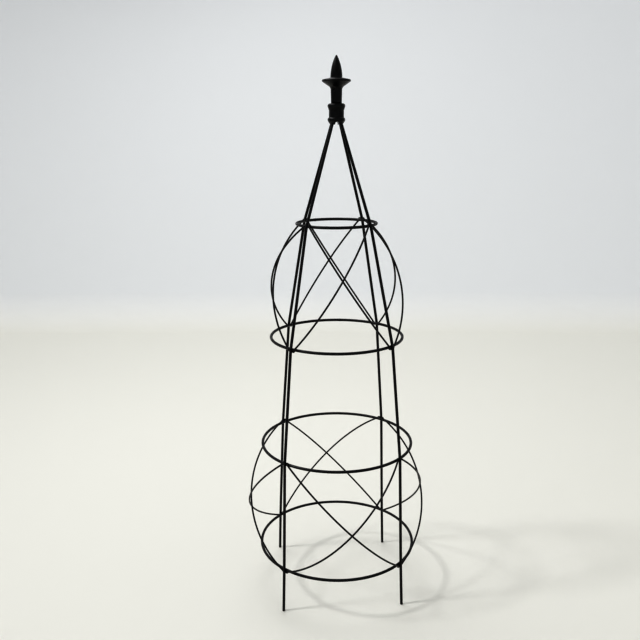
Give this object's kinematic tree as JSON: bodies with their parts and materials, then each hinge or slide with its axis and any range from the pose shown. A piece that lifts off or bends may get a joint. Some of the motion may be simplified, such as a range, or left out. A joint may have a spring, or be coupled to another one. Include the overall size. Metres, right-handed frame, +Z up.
{
  "type": "garden obelisk",
  "caption": "Tall tapering plant support of round bar: legs gathered into a cast collar and spear finial, round hoops, and crossed bows bulging between them.",
  "frame": {"origin": "on the ground, on the obelisk's vertical axis", "axes": "+Z up the axis to the finial; -Y is the front face, and the legs stand on the diagonals between X and Y"},
  "size_m": [0.523, 0.5268, 1.524],
  "materials": {
    "black_bar": "satin black powder coat on round steel bar",
    "black_wire": "satin black powder coat on steel wire",
    "black_casting": "satin black paint on a sand casting"
  },
  "bodies": {
    "root": {"leg_front_left": "black_bar", "leg_front_right": "black_bar", "leg_back_right": "black_bar", "leg_back_left": "black_bar", "hoop_bottom": "black_bar", "hoop_lower": "black_bar", "hoop_upper": "black_bar", "hoop_top": "black_bar", "lower_wire_front_inner": "black_wire", "lower_wire_front_outer": "black_wire", "lower_wire_right_inner": "black_wire", "lower_wire_right_outer": "black_wire", "lower_wire_back_inner": "black_wire", "lower_wire_back_outer": "black_wire", "lower_wire_left_inner": "black_wire", "lower_wire_left_outer": "black_wire", "upper_wire_front_inner": "black_wire", "upper_wire_front_outer": "black_wire", "upper_wire_right_inner": "black_wire", "upper_wire_right_outer": "black_wire", "upper_wire_back_inner": "black_wire", "upper_wire_back_outer": "black_wire", "upper_wire_left_inner": "black_wire", "upper_wire_left_outer": "black_wire", "welds_bottom": "black_bar", "welds_lower": "black_bar", "welds_upper": "black_bar", "welds_top": "black_bar", "collar": "black_casting", "finial": "black_casting"}
  },
  "joints": []
}
